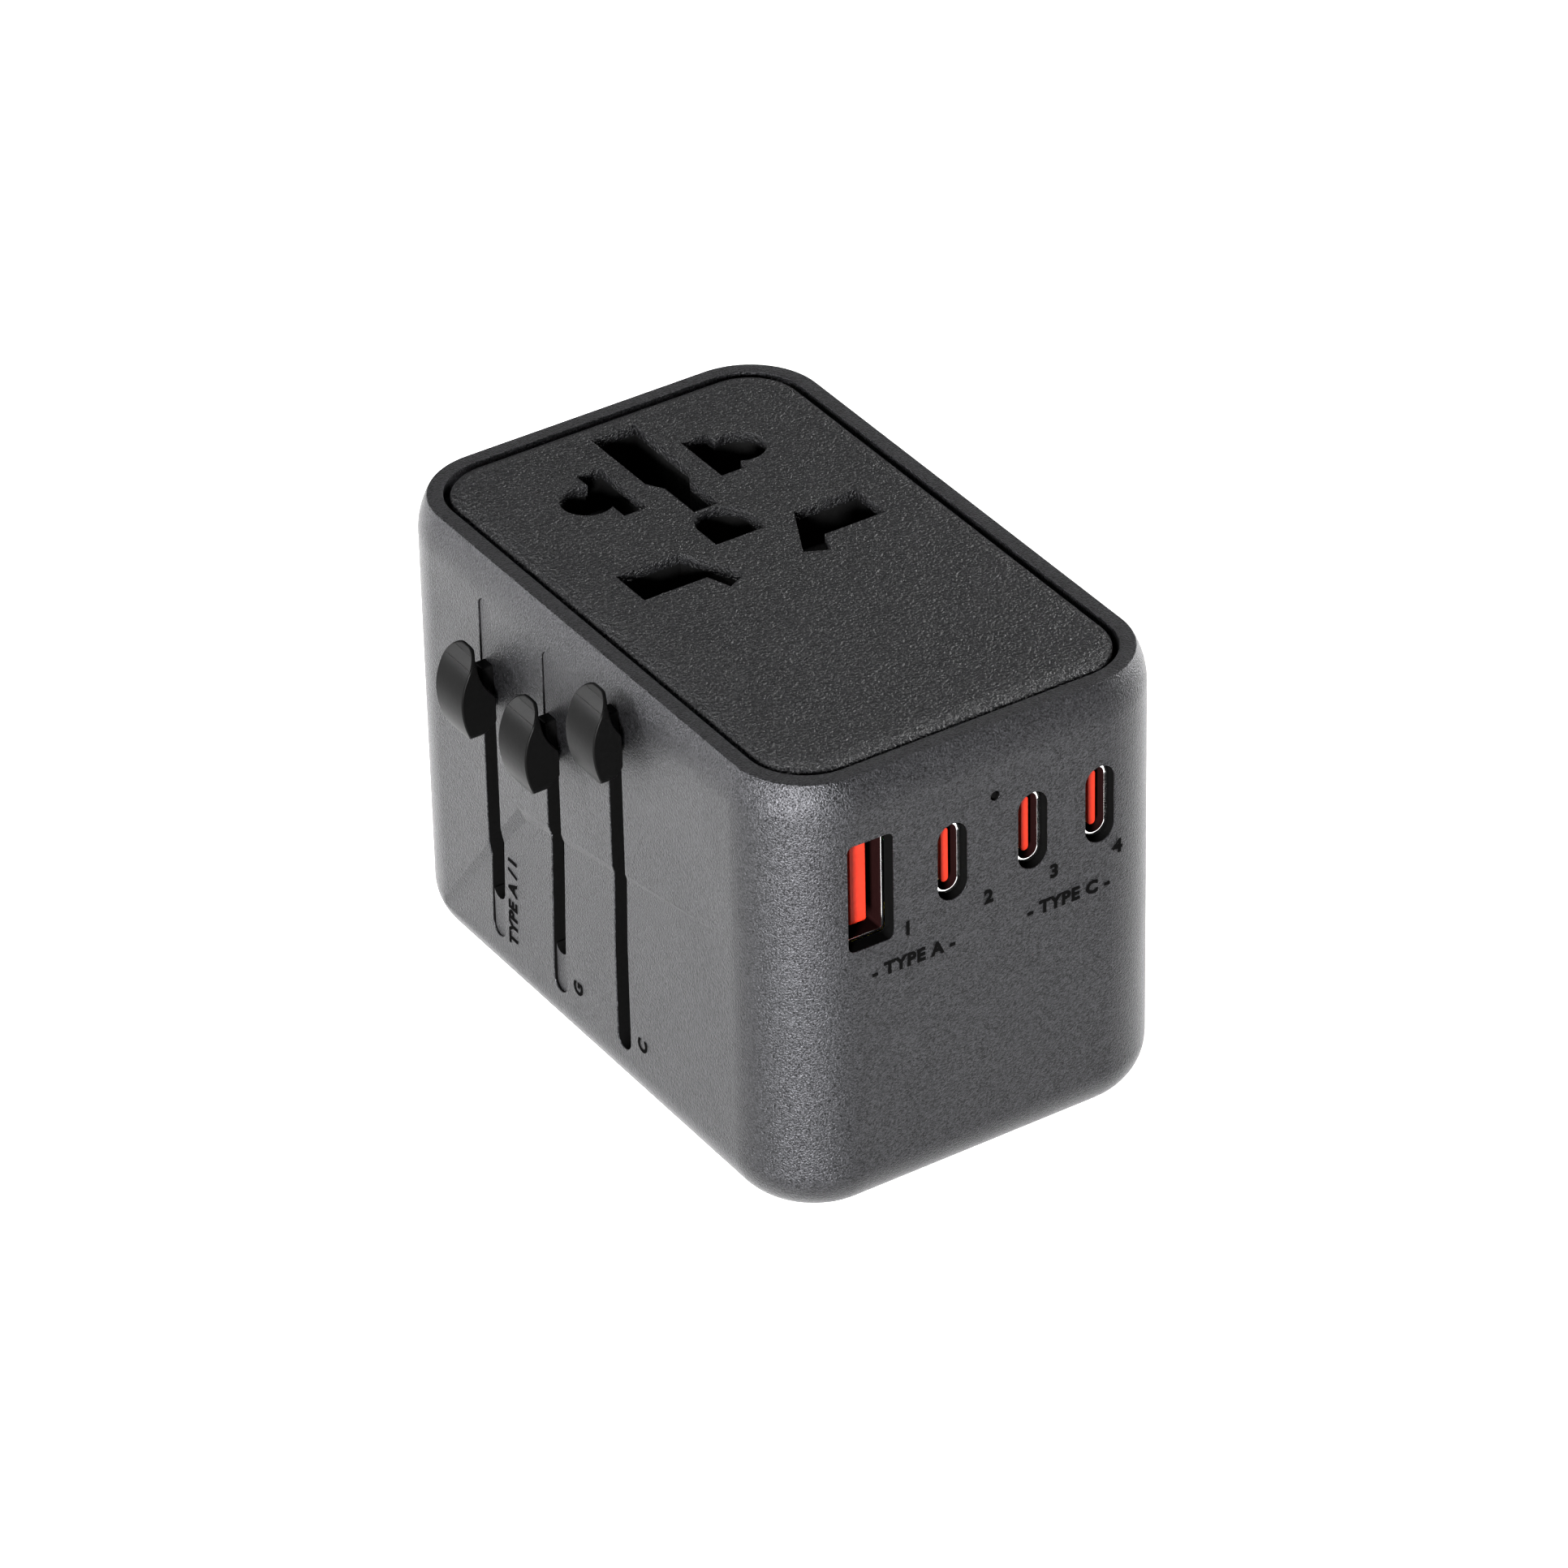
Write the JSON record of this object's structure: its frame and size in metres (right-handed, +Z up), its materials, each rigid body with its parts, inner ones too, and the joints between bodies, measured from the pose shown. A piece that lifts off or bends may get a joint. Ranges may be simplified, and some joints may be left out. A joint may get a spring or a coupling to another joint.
{
  "type": "universal travel adapter",
  "caption": "Block-shaped universal travel adapter with a multi-standard socket on top, charging ports in front, and plug pins that slide out of the base by side knobs.",
  "frame": {"origin": "centre of the casing's footprint, on the flat base face that the pins come out of", "axes": "+Z up from the base to the socket face, -Y out of the wall with the charging ports, -X out of the wall with the slider knobs"},
  "size_m": [0.0542, 0.0762, 0.0544],
  "materials": {
    "casing": "fine spark-eroded grain, dark metallic grey",
    "top_plate": "leather-like fine texture, near black",
    "knob": "satin black",
    "inner_plastic": "plain moulded",
    "shutter": "plain moulded",
    "port_red": "satin red",
    "nickel": "nickel plated",
    "brass": "pressed strip",
    "steel": "zinc plated",
    "board": "green solder mask",
    "ceramic": "glazed ceramic tube",
    "tape": "yellow winding tape",
    "capacitor_sleeve": "printed sleeve, no marks",
    "light_pipe": "clear polished"
  },
  "bodies": {
    "casing": {"outer_casing": "casing", "socket_plate": "top_plate", "pin_face_plate": "casing", "slider_guide_liner": "casing", "charger_partition": "inner_plastic", "contact_deck": "inner_plastic", "live_contact": "brass", "neutral_contact": "brass", "earth_contact": "brass", "front_shutter_spring": "steel", "rear_shutter_left_spring": "steel", "rear_shutter_right_spring": "steel", "usb_a_shell": "nickel", "usb_a_tongue": "port_red", "usb_c_shell_1": "nickel", "usb_c_tongue_1": "port_red", "usb_c_shell_2": "nickel", "usb_c_tongue_2": "port_red", "usb_c_shell_3": "nickel", "usb_c_tongue_3": "port_red", "charger_board": "board", "transformer": "tape", "capacitor_1": "capacitor_sleeve", "capacitor_2": "capacitor_sleeve", "led_light_pipe": "light_pipe", "fuse": "ceramic", "fuse_clip_1": "nickel", "fuse_clip_2": "nickel", "plate_screw_1": "steel", "plate_screw_2": "steel", "plate_screw_3": "steel", "plate_screw_4": "steel", "deck_screw_1": "steel", "deck_screw_2": "steel", "deck_screw_3": "steel", "deck_screw_4": "steel"},
    "usa_aus_slider": {"usa_aus_carriage": "inner_plastic", "usa_aus_knob": "knob"},
    "blade_left": {"usa_aus_blade_left": "nickel"},
    "blade_right": {"usa_aus_blade_right": "nickel"},
    "uk_slider": {"uk_carriage": "inner_plastic", "uk_knob": "knob", "uk_live_pin": "nickel", "uk_neutral_pin": "nickel", "uk_earth_pin": "nickel"},
    "eu_slider": {"eu_plug_block": "inner_plastic", "eu_knob": "knob", "eu_pin_left": "nickel", "eu_pin_right": "nickel"},
    "front_shutter": {"front_shutter": "shutter"},
    "rear_shutter_left": {"rear_shutter_left": "shutter"},
    "rear_shutter_right": {"rear_shutter_right": "shutter"}
  },
  "joints": [
    {"name": "usa_aus_slide", "type": "slide", "parent": "casing", "child": "usa_aus_slider", "axis": [0, 0, -1], "range_m": [0, 0.023]},
    {"name": "blade_left_twist", "type": "hinge", "parent": "usa_aus_slider", "child": "blade_left", "pos_m": [-0.00635, 0.0155, 0.0279], "axis": [0, 0, 1], "range_deg": [0, 30]},
    {"name": "blade_right_twist", "type": "hinge", "parent": "usa_aus_slider", "child": "blade_right", "pos_m": [0.00635, 0.0155, 0.0279], "axis": [0, 0, 1], "range_deg": [-30, 0]},
    {"name": "uk_slide", "type": "slide", "parent": "casing", "child": "uk_slider", "axis": [0, 0, -1], "range_m": [0, 0.023]},
    {"name": "eu_slide", "type": "slide", "parent": "casing", "child": "eu_slider", "axis": [0, 0, -1], "range_m": [0, 0.037]},
    {"name": "front_shutter_slide", "type": "slide", "parent": "casing", "child": "front_shutter", "axis": [0, -1, 0], "range_m": [0, 0.0092], "stiffness_N_per_m": 25, "springref_m": -0.002, "deforming": ["front_shutter_spring"]},
    {"name": "rear_shutter_left_slide", "type": "slide", "parent": "casing", "child": "rear_shutter_left", "axis": [0, 1, 0], "range_m": [0, 0.009], "stiffness_N_per_m": 25, "springref_m": -0.002, "deforming": ["rear_shutter_left_spring"]},
    {"name": "rear_shutter_right_slide", "type": "slide", "parent": "casing", "child": "rear_shutter_right", "axis": [0, 1, 0], "range_m": [0, 0.009], "stiffness_N_per_m": 25, "springref_m": -0.002, "deforming": ["rear_shutter_right_spring"]}
  ]
}
